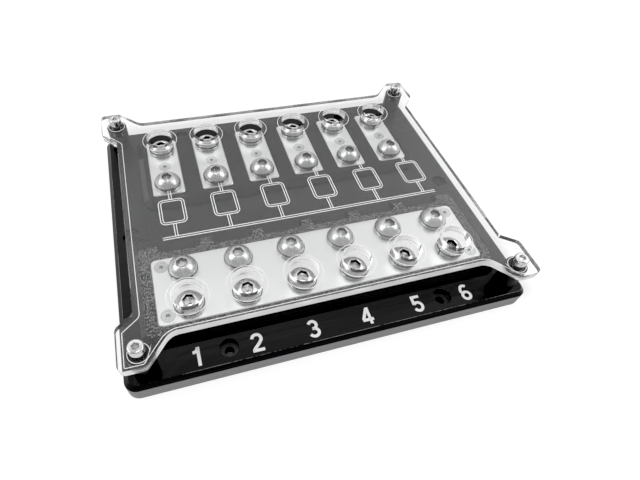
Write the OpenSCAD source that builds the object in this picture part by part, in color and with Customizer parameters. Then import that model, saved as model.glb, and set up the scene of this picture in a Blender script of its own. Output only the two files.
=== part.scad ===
// Six-way fuse block: a milled black base with an inlaid bus bar in front and six output plates
// behind, and a clear cover on four standoffs. A blade fuse is clamped between the bus bar and
// each plate; wires go under the outer bolts, which are reached through holes in the cover.
// Millimetres, +Z up, origin at the centre of the base's underside, front towards -Y.

/* [Circuits] */
// Distance between neighbouring circuits
pitch = 28; // [26:0.5:36]
// Distance between the two bolts that clamp one fuse
fuse_span = 61; // [56:0.5:80]
// Width of the pocket that takes a fuse body
fuse_pocket_w = 22.3; // [18:0.1:25]
// Corner radius of a fuse pocket
fuse_pocket_r = 3; // [1:0.5:6]
// Distance from the back of the bus bar to the front end of a fuse pocket
fuse_pocket_setback = 4; // [2:0.5:8]

/* [Base] */
// Height of the base's upright side
base_side_h = 8.05; // [5:0.05:14]
// Width of the slanted edge above the side
base_chamfer = 2.2; // [0.5:0.1:4]
// Radius of the base's upright corners
base_corner_r = 6; // [5:0.5:16]
// Distance from the bus bar's end to the base's side
base_side_margin = 18.35; // [17:0.05:28]
// Distance from the front island's foot to the base's front
base_front_margin = 16.5; // [14:0.5:26]
// Distance from the rear island's foot to the base's back
base_rear_margin = 12.3; // [11:0.1:24]

/* [Islands] */
// Height of the islands above the base's floor
island_h = 4.75; // [3.5:0.05:8]
// Width of the slanted edge of an island
island_chamfer = 3; // [1:0.1:3.4]
// Corner radius at an island's foot
island_corner_r = 6; // [4:0.5:10]
// Distance from the bus bar's end to the front island's foot
front_island_side = 8.5; // [6:0.1:12]
// Distance from the bus bar's front to the front island's foot
front_island_front = 7.2; // [5:0.1:12]
// Distance from the bus bar's back to the front island's rear foot
front_island_rear = 11.8; // [9:0.1:14]
// Distance from the outer plate's side to the rear island's foot
rear_island_side = 5.65; // [4:0.05:10]
// Distance from a plate's end to the rear island's foot
rear_island_end = 6.5; // [4.5:0.1:10]

/* [Bus bar and output plates] */
// Thickness of the bar that the bus bar and the plates are cut from
bar_t = 6.35; // [4:0.05:9]
// Height of the bar's top above the islands
bar_proud = 0.4; // [0:0.05:2]
// Width of the slanted top edge of the bar
bar_chamfer = 0.4; // [0.1:0.1:1]
// Distance from the outer bolts to the bus bar's end
bus_end = 15.45; // [13:0.05:20]
// Depth of the bus bar, front to back
bus_d = 38; // [36:0.5:46]
// Corner radius of the bus bar
bus_corner_r = 2.5; // [1:0.5:5]
// Distance between the bus bar's fuse bolts and its wire bolts
bus_row_gap = 20.25; // [18:0.05:21]
// Width of an output plate
plate_w = 18.1; // [16:0.1:22]
// Length of an output plate
plate_len = 46.3; // [46:0.1:60]
// Corner radius of an output plate
plate_corner_r = 2; // [1:0.5:4]
// Distance between a plate's fuse bolt and its wire bolt
plate_row_gap = 30.3; // [27:0.1:32]

/* [Terminal bolts] */
// Diameter of a terminal bolt's shank
bolt_d = 8; // [6:0.5:8]
// How far a bolt reaches below the bar
bolt_reach = 3.65; // [1:0.05:5]
// Diameter of a bolt's domed head
bolt_head_d = 14; // [12:0.1:16]
// Height of a bolt's domed head
bolt_head_h = 4.4; // [3.8:0.1:5.5]
// Height of the upright rim below the dome
bolt_rim_h = 0.8; // [0.4:0.1:1.4]
// Diameter of the flat on top of the dome
bolt_flat_d = 7.2; // [6.5:0.1:9]
// Hexagon socket size across its flats
bolt_hex = 5; // [4:0.5:5.5]
// Depth of the hexagon socket
bolt_hex_depth = 2.6; // [1.5:0.1:3]
// How far a split lock washer reaches past the bolt's head, all round
washer_rim = 0.4; // [0.1:0.1:0.8]
// Thickness of a split lock washer
washer_t = 2; // [1:0.1:3]
// Width of the split in a lock washer
washer_split = 1.2; // [0.5:0.1:2.5]
// Slant of the split from upright, in degrees
washer_slant = 25; // [0:5:35]

/* [Bar screws] */
// Shank diameter of the countersunk screws
bar_screw_d = 3.5; // [3:0.1:4]
// Head diameter of the countersunk screws
bar_screw_head_d = 7; // [6:0.1:8]
// How far a countersunk screw reaches below the bar
bar_screw_reach = 5.65; // [3:0.05:7]
// Hexagon socket size across its flats
bar_screw_hex = 2; // [1.5:0.1:2.5]
// Depth of the hexagon socket
bar_screw_hex_depth = 1.4; // [0.8:0.1:2]
// Distance from the bus bar's edges to its countersunk screws
bus_screw_inset = 5; // [4.2:0.1:6]

/* [Cover] */
// Thickness of the clear cover
cover_t = 4.5; // [3:0.1:10]
// Distance from the base's side to the cover's side edge
cover_side_inset = 9.4; // [8:0.1:14]
// Distance from the base's front to the cover's front edge
cover_front_inset = 15.2; // [11:0.1:17]
// Distance from the base's back to the cover's rear edge
cover_rear_inset = 11.5; // [10:0.1:16]
// Diameter of the holes above the wire bolts
access_d = 15; // [14.6:0.1:18]

/* [Cover ears] */
// Reach of an ear past its screw, sideways
ear_out_side = 8.5; // [7.5:0.1:9.8]
// Reach of a front ear past its screw, to the front
ear_out_front = 8; // [6.5:0.1:9.3]
// Reach of a rear ear past its screw, to the back
ear_out_rear = 9; // [7.5:0.1:9]
// Distance from a screw inwards to the start of the ear's end edge
ear_neck_x = 2.9; // [1:0.1:6]
// Distance from a front screw inwards to the start of the ear's side edge
ear_neck_front = 12; // [9:0.1:14]
// Distance from a rear screw inwards to the start of the ear's side edge
ear_neck_rear = 8.7; // [8:0.1:13]
// Distance from a screw inwards to the cover's long edge
ear_root_x = 13.9; // [12:0.1:18]
// Distance from a front screw inwards to the cover's side edge
ear_root_front = 18.1; // [17:0.1:24]
// Distance from a rear screw inwards to the cover's side edge
ear_root_rear = 17.3; // [16:0.1:24]
// Radius of the ear's outer corners
ear_corner_r = 3; // [2.5:0.1:4]
// Radius of the inner corners at the cover's long edges
ear_long_root_r = 8; // [2:0.5:10]
// Radius of the inner corners at the cover's side edges
ear_side_root_r = 1.5; // [0.5:0.5:3]

/* [Standoffs and cover screws] */
// Height of a standoff
standoff_h = 12.7; // [12:0.05:30]
// Diameter of a standoff
standoff_d = 11.2; // [9:0.1:13]
// Width of the slanted edges of a standoff
standoff_chamfer = 0.4; // [0.1:0.1:1]
// Distance from the base's side to a standoff's axis
standoff_inset_x = 9.9; // [9.8:0.1:12]
// Distance from the base's front to a front standoff's axis
standoff_front_inset = 10; // [9.3:0.1:11]
// Distance from the base's back to a rear standoff's axis
standoff_rear_inset = 9.2; // [9:0.1:11]
// Shank diameter of a cover screw
cover_screw_d = 4; // [3:0.1:5]
// Head diameter of a cover screw
cover_screw_head_d = 7; // [6.5:0.1:8.5]
// Head height of a cover screw
cover_screw_head_h = 4; // [3:0.1:5]
// Hexagon socket size across its flats
cover_screw_hex = 3; // [2:0.5:4]
// Depth of the hexagon socket
cover_screw_hex_depth = 2; // [1:0.1:2.6]
// How far a cover screw reaches into the base
cover_screw_reach = 6.1; // [3:0.1:7]

/* [Mounting holes] */
// Diameter of the mounting holes
mount_hole_d = 4.8; // [3:0.1:6]
// Diameter of the recess for a mounting screw's head
mount_recess_d = 9.2; // [7:0.1:11]
// Depth of the recess for a mounting screw's head
mount_recess_depth = 4.5; // [2:0.1:6]
// Distance from the base's front or back to the outer mounting holes
mount_inset_y = 9.4; // [6.5:0.1:10]
// Distance from the base's side to the side mounting holes
mount_inset_x = 9.9; // [9.8:0.1:12]
// Distance between the outer mounting holes, side to side
mount_spacing = 112; // [60:1:150]

/* [Fits] */
// Gap round a thread or a shank in its hole, on the radius
thread_gap = 0.1; // [0.02:0.01:0.3]
// Gap round an inlaid bar in its pocket
inlay_gap = 0.1; // [0.02:0.01:0.4]
// Gap under a countersunk head in its seat
seat_gap = 0.05; // [0.02:0.01:0.2]
// Gap round a cover screw in the cover, on the radius
cover_hole_gap = 0.2; // [0.1:0.1:1]
// Room left below the end of a bolt or screw in the base
hole_end_gap = 0.9; // [0.3:0.1:1]

/* [Hidden] */

$fn = 64;
cut = 1;  // how far a cutting shape runs past the surface it cuts
arc_steps = 8;  // straight pieces in each rounded corner of the cover

// Circuits
circuits = 6;
column_span = (circuits - 1) * pitch;
columns = [for (i = [0 : circuits - 1]) i * pitch - column_span / 2];

// Places front to back, measured from the middle of the fuses
bus_fuse_row = -fuse_span / 2;
bus_wire_row = bus_fuse_row - bus_row_gap;
bus_middle = (bus_fuse_row + bus_wire_row) / 2;
bus_front = bus_middle - bus_d / 2;
bus_back = bus_middle + bus_d / 2;
plate_fuse_row = fuse_span / 2;
plate_wire_row = plate_fuse_row + plate_row_gap;
plate_middle = (plate_fuse_row + plate_wire_row) / 2;
front_island_start = bus_front - front_island_front;
front_island_end = bus_back + front_island_rear;
rear_island_start = plate_middle - plate_len / 2 - rear_island_end;
rear_island_stop = plate_middle + plate_len / 2 + rear_island_end;
base_front = front_island_start - base_front_margin;
base_back = rear_island_stop + base_rear_margin;
base_middle = (base_front + base_back) / 2;

// Overall widths
bus_len = column_span + 2 * bus_end;
base_w = bus_len + 2 * base_side_margin;
base_d = base_back - base_front;
front_island_w = bus_len + 2 * front_island_side;
rear_island_w = column_span + plate_w + 2 * rear_island_side;

// Heights
floor_z = base_side_h + base_chamfer;
bar_top_z = floor_z + island_h + bar_proud;
bar_bottom_z = bar_top_z - bar_t;
head_z = bar_top_z + washer_t;
cover_z = floor_z + standoff_h;
cover_top_z = cover_z + cover_t;

// Corner hardware and mounting holes, in the part's own frame
standoff_x = base_w / 2 - standoff_inset_x;
standoff_front = base_d / 2 - standoff_front_inset;
standoff_rear = base_d / 2 - standoff_rear_inset;
mount_y = base_d / 2 - mount_inset_y;
mount_x = base_w / 2 - mount_inset_x;

// A place in front of or behind the middle of the fuses, in the part's own frame
function from_fuses(y) = y - base_middle;

// Lengths and widths of the threaded pieces and their washers
bolt_len = washer_t + bar_t + bolt_reach;
bolt_hole_d = bolt_d + 2 * thread_gap;
washer_d = bolt_head_d + 2 * washer_rim;
bar_screw_len = bar_t + bar_screw_reach;
bar_screw_hole_d = bar_screw_d + 2 * thread_gap;
cover_screw_len = cover_t + standoff_h + cover_screw_reach;
cover_screw_bore_d = cover_screw_d + 2 * thread_gap;
cover_hole_d = cover_screw_d + 2 * cover_hole_gap;

// Centre and radius of the sphere that shapes a bolt's dome
dome_r_rim = bolt_head_d / 2;
dome_r_flat = bolt_flat_d / 2;
dome_centre = (bolt_head_h * bolt_head_h + dome_r_flat * dome_r_flat
               - bolt_rim_h * bolt_rim_h - dome_r_rim * dome_r_rim)
              / (2 * (bolt_head_h - bolt_rim_h));
dome_r = sqrt(dome_r_flat * dome_r_flat + (bolt_head_h - dome_centre) * (bolt_head_h - dome_centre));

// Places of the four bus bar screws and of the mounting holes
bus_screw_places = [
  for (sx = [-1, 1], sy = [-1, 1])
    [sx * (bus_len / 2 - bus_screw_inset), from_fuses(bus_middle) + sy * (bus_d / 2 - bus_screw_inset)]
];
plate_screw_places = [for (x = columns) [x, from_fuses(plate_middle)]];
corner_places = [for (sx = [-1, 1], y = [-standoff_front, standoff_rear]) [sx * standoff_x, y]];
mount_places = concat(
  [for (sx = [-1, 1], sy = [-1, 1]) [sx * mount_spacing / 2, sy * mount_y]],
  [for (sx = [-1, 1]) [sx * mount_x, 0]]
);
bolt_rows = [bus_fuse_row, bus_wire_row, plate_fuse_row, plate_wire_row];

// Colours
base_colour = [0.04, 0.04, 0.045];
bar_colour = [0.82, 0.82, 0.83];
steel_colour = [0.68, 0.68, 0.7];
standoff_colour = [0.05, 0.05, 0.055];
clear_colour = [0.86, 0.9, 0.92, 0.3];

// Box with round upright corners, centred in x and y, standing on z = 0
module rounded_block(w, d, h, r) {
  linear_extrude(h) {
    square([w, d - 2 * r], center = true);
    square([w - 2 * r, d], center = true);
    for (sx = [-1, 1], sy = [-1, 1])
      translate([sx * (w / 2 - r), sy * (d / 2 - r)])
        circle(r);
  }
}

// Section of the waste cut off to leave a 45 degree edge of width c below a wall's top at [0, h]
module edge_waste(h, c) {
  polygon([[cut, h - c - cut], [cut, h + cut], [-c - cut, h + cut]]);
}

// Straight cut along the edge that runs front to back on the right of a block
module straight_edge_cut(w, d, h, c) {
  translate([w / 2, 0, 0])
    rotate([90, 0, 0])
      linear_extrude(d + 2 * cut, center = true)
        edge_waste(h, c);
}

// Cut round an upright corner of radius r, from the right to the back
module round_edge_cut(r, h, c) {
  rotate_extrude(angle = 90)
    translate([r, 0])
      edge_waste(h, c);
}

// Rounded block with a 45 degree edge of width c round its top
module chamfered_block(w, d, h, r, c) {
  difference() {
    rounded_block(w, d, h, r);
    for (turn = [0, 180])
      rotate([0, 0, turn]) {
        straight_edge_cut(w, d, h, c);
        translate([w / 2 - r, d / 2 - r, 0])
          round_edge_cut(r, h, c);
        rotate([0, 0, 90]) {
          straight_edge_cut(d, w, h, c);
          translate([d / 2 - r, w / 2 - r, 0])
            round_edge_cut(r, h, c);
        }
      }
  }
}

// Hexagon socket of a given size across its flats, sunk from z = 0
module hex_socket(across, depth) {
  translate([0, 0, -depth])
    cylinder(h = depth + cut, d = across / cos(30), $fn = 6);
}

// Blind hole in the base from its top side down to z
module base_hole(place, d, z) {
  translate([place[0], place[1], z])
    cylinder(h = bar_top_z - z + cut, d = d);
}

// One raised island between two places front to back
module island(start, stop, w) {
  translate([0, from_fuses((start + stop) / 2), floor_z - cut])
    chamfered_block(w, stop - start, island_h + cut, island_corner_r, island_chamfer);
}

// Pocket for a bar of the given outline, from the bar's underside upwards
module bar_pocket(w, d, r) {
  translate([0, 0, bar_bottom_z])
    rounded_block(w + 2 * inlay_gap, d + 2 * inlay_gap, bar_t + cut, r + inlay_gap);
}

// Room for one fuse body, cut into the back of the front island
module fuse_pocket() {
  front = bus_back + fuse_pocket_setback;
  len = front_island_end - front + fuse_pocket_r + cut;
  translate([0, from_fuses(front + len / 2), floor_z])
    rounded_block(fuse_pocket_w, len, island_h + cut, fuse_pocket_r);
}

// Counterbored mounting hole through the base's floor
module mounting_hole() {
  translate([0, 0, -cut])
    cylinder(h = floor_z + 2 * cut, d = mount_hole_d);
  translate([0, 0, floor_z - mount_recess_depth])
    cylinder(h = mount_recess_depth + cut, d = mount_recess_d);
}

module base() {
  color(base_colour)
    difference() {
      union() {
        chamfered_block(base_w, base_d, floor_z, base_corner_r, base_chamfer);
        island(front_island_start, front_island_end, front_island_w);
        island(rear_island_start, rear_island_stop, rear_island_w);
      }
      translate([0, from_fuses(bus_middle), 0])
        bar_pocket(bus_len, bus_d, bus_corner_r);
      for (x = columns) {
        translate([x, from_fuses(plate_middle), 0])
          bar_pocket(plate_w, plate_len, plate_corner_r);
        translate([x, 0, 0])
          fuse_pocket();
        for (row = bolt_rows)
          base_hole([x, from_fuses(row)], bolt_hole_d, head_z - bolt_len - hole_end_gap);
      }
      for (place = concat(bus_screw_places, plate_screw_places))
        base_hole(place, bar_screw_hole_d, bar_top_z - bar_screw_len - hole_end_gap);
      for (place = corner_places)
        base_hole(place, cover_screw_bore_d, floor_z - cover_screw_reach - hole_end_gap);
      for (place = mount_places)
        translate(place)
          mounting_hole();
    }
}

// Holes through a bar: threaded holes for the bolts and countersunk ones for the screws
module bolt_hole(place) {
  translate([place[0], place[1], bar_bottom_z - cut])
    cylinder(h = bar_t + 2 * cut, d = bolt_hole_d);
}

module countersunk_hole(place) {
  depth = (bar_screw_head_d - bar_screw_d) / 2;
  translate([place[0], place[1], 0]) {
    translate([0, 0, bar_bottom_z - cut])
      cylinder(h = bar_t + 2 * cut, d = bar_screw_hole_d);
    translate([0, 0, bar_top_z - depth - seat_gap])
      cylinder(h = depth + seat_gap + cut, d1 = bar_screw_d, d2 = bar_screw_head_d + 2 * (seat_gap + cut));
  }
}

module bus_bar() {
  color(bar_colour)
    difference() {
      translate([0, from_fuses(bus_middle), bar_bottom_z])
        chamfered_block(bus_len, bus_d, bar_t, bus_corner_r, bar_chamfer);
      for (x = columns, row = [bus_fuse_row, bus_wire_row])
        bolt_hole([x, from_fuses(row)]);
      for (place = bus_screw_places)
        countersunk_hole(place);
    }
}

module output_plate(number) {
  x = columns[number - 1];
  color(bar_colour)
    difference() {
      translate([x, from_fuses(plate_middle), bar_bottom_z])
        chamfered_block(plate_w, plate_len, bar_t, plate_corner_r, bar_chamfer);
      for (row = [plate_fuse_row, plate_wire_row])
        bolt_hole([x, from_fuses(row)]);
      countersunk_hole([x, from_fuses(plate_middle)]);
    }
}

// Countersunk screw with its head level with the bar's top
module bar_screw() {
  head_depth = (bar_screw_head_d - bar_screw_d) / 2;
  translate([0, 0, bar_top_z])
    difference() {
      union() {
        translate([0, 0, -head_depth])
          cylinder(h = head_depth, d1 = bar_screw_d, d2 = bar_screw_head_d);
        translate([0, 0, -bar_screw_len])
          cylinder(h = bar_screw_len - head_depth, d = bar_screw_d);
      }
      hex_socket(bar_screw_hex, bar_screw_hex_depth);
    }
}

module bar_screws(places) {
  color(steel_colour)
    for (place = places)
      translate(place)
        bar_screw();
}

module bus_bar_screws() {
  bar_screws(bus_screw_places);
}

module plate_screws() {
  bar_screws(plate_screw_places);
}

// Split lock washer lying on the bar
module lock_washer() {
  translate([0, 0, bar_top_z])
    difference() {
      cylinder(h = washer_t, d = washer_d);
      translate([0, 0, -cut])
        cylinder(h = washer_t + 2 * cut, d = bolt_hole_d);
      translate([0, -washer_d / 2, washer_t / 2])
        rotate([0, washer_slant, 0])
          cube([washer_split, washer_d, 4 * washer_t], center = true);
    }
}

// Domed bolt with a hexagon socket, its head resting on the lock washer
module terminal_bolt() {
  translate([0, 0, head_z])
    difference() {
      union() {
        intersection() {
          cylinder(h = bolt_head_h, d = bolt_head_d);
          translate([0, 0, dome_centre])
            sphere(dome_r);
        }
        translate([0, 0, -bolt_len])
          cylinder(h = bolt_len + bolt_rim_h / 2, d = bolt_d);
      }
      translate([0, 0, bolt_head_h])
        hex_socket(bolt_hex, bolt_hex_depth);
    }
}

// One piece above each circuit, in a row front to back
module in_row(row) {
  color(steel_colour)
    for (x = columns)
      translate([x, from_fuses(row), 0])
        children();
}

module bus_fuse_lock_washers() {
  in_row(bus_fuse_row) lock_washer();
}

module bus_wire_lock_washers() {
  in_row(bus_wire_row) lock_washer();
}

module plate_fuse_lock_washers() {
  in_row(plate_fuse_row) lock_washer();
}

module plate_wire_lock_washers() {
  in_row(plate_wire_row) lock_washer();
}

module bus_fuse_bolts() {
  in_row(bus_fuse_row) terminal_bolt();
}

module bus_wire_bolts() {
  in_row(bus_wire_row) terminal_bolt();
}

module plate_fuse_bolts() {
  in_row(plate_fuse_row) terminal_bolt();
}

module plate_wire_bolts() {
  in_row(plate_wire_row) terminal_bolt();
}

// Turned standoff with a bore for its cover screw
module standoff(place) {
  outer_r = standoff_d / 2;
  bore_r = cover_screw_bore_d / 2;
  edge = standoff_chamfer;
  color(standoff_colour)
    translate([place[0], place[1], floor_z])
      rotate_extrude()
        polygon([
          [bore_r, 0], [outer_r - edge, 0], [outer_r, edge],
          [outer_r, standoff_h - edge], [outer_r - edge, standoff_h], [bore_r, standoff_h]
        ]);
}

module standoff_front_left() {
  standoff([-standoff_x, -standoff_front]);
}

module standoff_front_right() {
  standoff([standoff_x, -standoff_front]);
}

module standoff_rear_left() {
  standoff([-standoff_x, standoff_rear]);
}

module standoff_rear_right() {
  standoff([standoff_x, standoff_rear]);
}

// Corners of a quarter of the cover, from the long edge round the ear to the side edge, measured
// outwards from the middle, each with its radius; a negative radius rounds an inner corner
function cover_quarter(end_y, screw_y, out, neck, root) = [
  [standoff_x - ear_root_x, end_y, -ear_long_root_r],
  [standoff_x - ear_neck_x, screw_y + out, ear_corner_r],
  [standoff_x + ear_out_side, screw_y + out, ear_corner_r],
  [standoff_x + ear_out_side, screw_y - neck, ear_corner_r],
  [base_w / 2 - cover_side_inset, screw_y - root, -ear_side_root_r]
];
front_quarter = cover_quarter(base_d / 2 - cover_front_inset, standoff_front,
                              ear_out_front, ear_neck_front, ear_root_front);
rear_quarter = cover_quarter(base_d / 2 - cover_rear_inset, standoff_rear,
                             ear_out_rear, ear_neck_rear, ear_root_rear);

// The four quarters turned into place, so that all corners run clockwise from the rear right
function facing(p, sx, sy) = [sx * p[0], sy * p[1], p[2]];
function backwards(list) = [for (k = [len(list) - 1 : -1 : 0]) list[k]];
cover_corners = concat(
  [for (p = rear_quarter) facing(p, 1, 1)],
  [for (p = backwards(front_quarter)) facing(p, 1, -1)],
  [for (p = front_quarter) facing(p, -1, -1)],
  [for (p = backwards(rear_quarter)) facing(p, -1, 1)]
);

function unit(v) = v / norm(v);
function corner_at(list, k) = list[(k + len(list)) % len(list)];
function heading(a, b) = unit([b[0] - a[0], b[1] - a[1]]);

// Arc that rounds corner k of a clockwise outline
function rounded_corner(list, k) =
  let (
    p = corner_at(list, k),
    into = heading(corner_at(list, k - 1), p),
    away = heading(p, corner_at(list, k + 1)),
    inner_a = [into[1], -into[0]],
    inner_b = [away[1], -away[0]],
    half = unit(inner_a + inner_b),
    side = sign(p[2]),
    radius = abs(p[2]),
    centre = [p[0], p[1]] + half * (p[2] / (half * inner_a)),
    from = atan2(-side * inner_a[1], -side * inner_a[0]),
    to = atan2(-side * inner_b[1], -side * inner_b[0]),
    turn = to - from,
    sweep = turn > 180 ? turn - 360 : (turn < -180 ? turn + 360 : turn)
  )
  [
    for (s = [0 : arc_steps])
      centre + radius * [cos(from + sweep * s / arc_steps), sin(from + sweep * s / arc_steps)]
  ];

cover_outline = [for (k = [0 : len(cover_corners) - 1]) each rounded_corner(cover_corners, k)];

// Straight hole through the cover
module cover_hole(d) {
  translate([0, 0, cover_z - cut])
    cylinder(h = cover_t + 2 * cut, d = d);
}

module cover() {
  color(clear_colour)
    difference() {
      translate([0, 0, cover_z])
        linear_extrude(cover_t)
          polygon(cover_outline);
      for (x = columns, row = [bus_wire_row, plate_wire_row])
        translate([x, from_fuses(row), 0])
          cover_hole(access_d);
      for (place = corner_places)
        translate(place)
          cover_hole(cover_hole_d);
    }
}

// Socket head screw that holds the cover and a standoff to the base
module cover_screw() {
  translate([0, 0, cover_top_z])
    difference() {
      union() {
        cylinder(h = cover_screw_head_h, d = cover_screw_head_d);
        translate([0, 0, -cover_screw_len])
          cylinder(h = cover_screw_len + cover_screw_head_h / 2, d = cover_screw_d);
      }
      translate([0, 0, cover_screw_head_h])
        hex_socket(cover_screw_hex, cover_screw_hex_depth);
    }
}

module cover_screws() {
  color(steel_colour)
    for (place = corner_places)
      translate(place)
        cover_screw();
}

base();
bus_bar();
output_plate(1);  // output_plate_1
output_plate(2);  // output_plate_2
output_plate(3);  // output_plate_3
output_plate(4);  // output_plate_4
output_plate(5);  // output_plate_5
output_plate(6);  // output_plate_6
bus_bar_screws();
plate_screws();
bus_fuse_lock_washers();
bus_wire_lock_washers();
plate_fuse_lock_washers();
plate_wire_lock_washers();
bus_fuse_bolts();
bus_wire_bolts();
plate_fuse_bolts();
plate_wire_bolts();
standoff_front_left();
standoff_front_right();
standoff_rear_left();
standoff_rear_right();
cover();
cover_screws();
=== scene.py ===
"""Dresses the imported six-way fuse block: finishes for its solids, turned bolts, spring washers,
cover screws, circuit numerals, the cover's engraving, and the studio it is pictured in."""

import math

import bmesh
import bpy
from bpy.props import FloatProperty, FloatVectorProperty, IntProperty, PointerProperty
from mathutils import Matrix, Vector


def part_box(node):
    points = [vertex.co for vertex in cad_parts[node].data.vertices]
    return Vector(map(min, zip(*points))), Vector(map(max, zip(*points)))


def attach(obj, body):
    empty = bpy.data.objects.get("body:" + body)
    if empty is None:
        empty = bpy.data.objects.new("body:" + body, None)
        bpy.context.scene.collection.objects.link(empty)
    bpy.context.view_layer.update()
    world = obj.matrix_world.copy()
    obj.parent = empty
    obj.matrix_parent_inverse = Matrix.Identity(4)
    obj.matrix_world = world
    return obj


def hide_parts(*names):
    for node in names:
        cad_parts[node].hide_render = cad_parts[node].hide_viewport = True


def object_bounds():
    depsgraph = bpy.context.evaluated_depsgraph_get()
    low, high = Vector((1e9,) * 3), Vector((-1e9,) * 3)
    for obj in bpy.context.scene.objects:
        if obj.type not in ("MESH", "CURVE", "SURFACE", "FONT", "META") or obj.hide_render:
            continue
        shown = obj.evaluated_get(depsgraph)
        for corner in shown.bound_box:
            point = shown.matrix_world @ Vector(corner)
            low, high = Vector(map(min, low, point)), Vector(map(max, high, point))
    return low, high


bl_info = {
    "name": "Fuse block dressing",
    "version": (1, 0, 0),
    "blender": (4, 5, 0),
    "location": "3D View > Sidebar > Fuse block",
    "description": "Builds the fittings, finishes and studio of a six-way fuse block",
    "category": "Object",
}

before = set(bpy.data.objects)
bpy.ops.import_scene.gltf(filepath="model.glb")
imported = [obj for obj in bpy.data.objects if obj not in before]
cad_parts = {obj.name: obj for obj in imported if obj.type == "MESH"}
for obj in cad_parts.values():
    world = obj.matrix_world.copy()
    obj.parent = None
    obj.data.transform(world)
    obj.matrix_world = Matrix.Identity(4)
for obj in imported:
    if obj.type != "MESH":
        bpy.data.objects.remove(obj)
CAD_BOX = [list(corner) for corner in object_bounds()]
BODY = "root"
MM = 0.001

CIRCUITS = 6
BOLT_ROWS = ("bus_fuse", "bus_wire", "plate_fuse", "plate_wire")
WIRE_ROWS = ("bus_wire", "plate_wire")
STANDOFFS = tuple(f"standoff_{end}_{side}" for end in ("front", "rear") for side in ("left", "right"))
PLATES = tuple(f"output_plate_{number}" for number in range(1, CIRCUITS + 1))

BASE_LOW, BASE_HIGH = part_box("base")
COVER_LOW, COVER_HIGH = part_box("cover")
ISLAND_Z = BASE_HIGH.z
FLOOR_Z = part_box(STANDOFFS[0])[0].z


def middle(name):
    """Centre of a CAD node's box."""
    low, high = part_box(name)
    return (low + high) / 2


def row_places(name):
    """Axes of the six like pieces in a CAD node that holds one row of them."""
    low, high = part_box(name)
    radius = (high.y - low.y) / 2
    step = (high.x - low.x - 2 * radius) / (CIRCUITS - 1)
    return [Vector((low.x + radius + k * step, low.y + radius, 0)) for k in range(CIRCUITS)]


# Sizes and colours that a user would change

class FittingSizes(bpy.types.PropertyGroup):
    """Small sizes of the turned and stamped fittings"""

    socket: FloatProperty(
        name="Bolt socket", description="Hexagon socket of a terminal bolt, across its flats",
        default=5.0 * MM, unit="LENGTH")
    socket_depth: FloatProperty(
        name="Bolt socket depth", description="Depth of a terminal bolt's hexagon socket",
        default=2.6 * MM, unit="LENGTH")
    shank: FloatProperty(
        name="Bolt shank", description="Diameter of a terminal bolt's shank",
        default=8.0 * MM, unit="LENGTH")
    rim: FloatProperty(
        name="Bolt rim", description="Height of the upright rim under a bolt's dome",
        default=0.8 * MM, unit="LENGTH")
    flat: FloatProperty(
        name="Bolt flat", description="Diameter of the flat on top of a bolt's dome",
        default=6.3 * MM, unit="LENGTH")
    split: FloatProperty(
        name="Washer split", description="Width of the split in a lock washer",
        default=1.2 * MM, unit="LENGTH")
    cap_socket: FloatProperty(
        name="Cap screw socket", description="Hexagon socket of a cover screw, across its flats",
        default=3.0 * MM, unit="LENGTH")
    cap_socket_depth: FloatProperty(
        name="Cap screw socket depth", description="Depth of a cover screw's hexagon socket",
        default=2.0 * MM, unit="LENGTH")
    cap_shank: FloatProperty(
        name="Cap screw thread", description="Diameter of a cover screw's thread",
        default=4.0 * MM, unit="LENGTH")
    cap_round: FloatProperty(
        name="Cap screw rounding", description="Radius of the rounded top edge of a cover screw",
        default=0.9 * MM, unit="LENGTH")


class MarkingSizes(bpy.types.PropertyGroup):
    """Numerals on the floor and engraving under the cover"""

    numeral_height: FloatProperty(
        name="Numeral height", description="Height of a circuit numeral",
        default=9.3 * MM, unit="LENGTH")
    numeral_stroke: FloatProperty(
        name="Numeral stroke", description="Width of a numeral's stroke",
        default=1.55 * MM, unit="LENGTH")
    numeral_row: FloatProperty(
        name="Numeral row", description="Distance of the numerals' middles from the base's front",
        default=8.65 * MM, unit="LENGTH")
    numeral_shift: FloatProperty(
        name="Numeral shift", description="How far each numeral stands to the left of its circuit",
        default=0.9 * MM, unit="LENGTH")
    groove: FloatProperty(
        name="Engraved line", description="Width of an engraved line of the diagram",
        default=0.42 * MM, unit="LENGTH")
    twin: FloatProperty(
        name="Twin lines", description="Distance between the two lines of the engraved diagram",
        default=1.3 * MM, unit="LENGTH")
    border: FloatProperty(
        name="Border", description="Distance of the border line from the cover's edges and holes",
        default=2.3 * MM, unit="LENGTH")
    border_line: FloatProperty(
        name="Border line", description="Width of the border line",
        default=0.3 * MM, unit="LENGTH")


class FinishColours(bpy.types.PropertyGroup):
    """Main colours of the finishes"""

    plastic: FloatVectorProperty(
        name="Black plastic", description="Colour of the polished faces of the base",
        default=(0.009, 0.009, 0.0093), subtype="COLOR")
    milled: FloatVectorProperty(
        name="Milled plastic", description="Colour of the base's sawn and milled sides",
        default=(0.25, 0.25, 0.253), subtype="COLOR")
    aluminium: FloatVectorProperty(
        name="Aluminium", description="Colour of the bus bar and the output plates",
        default=(0.95, 0.95, 0.955), subtype="COLOR")
    steel: FloatVectorProperty(
        name="Stainless steel", description="Colour of the bolts and screws",
        default=(0.74, 0.74, 0.745), subtype="COLOR")
    paint: FloatVectorProperty(
        name="Numeral paint", description="Colour of the circuit numerals",
        default=(0.86, 0.86, 0.86), subtype="COLOR")


# Modelling helpers

# Points closer than this are one point
MERGE_ROOM = 0.001 * MM
# How far a unit normal leans along z on the flat faces of the cover
FLAT_FACING = 0.9
# Angle in degrees past which an edge of a washer or a numeral stays sharp
SHARP_ANGLE = 40


def deselect():
    """Leaves Blender in object mode with nothing selected."""
    if bpy.context.mode != "OBJECT":
        bpy.ops.object.mode_set(mode="OBJECT")
    bpy.ops.object.select_all(action="DESELECT")


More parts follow.
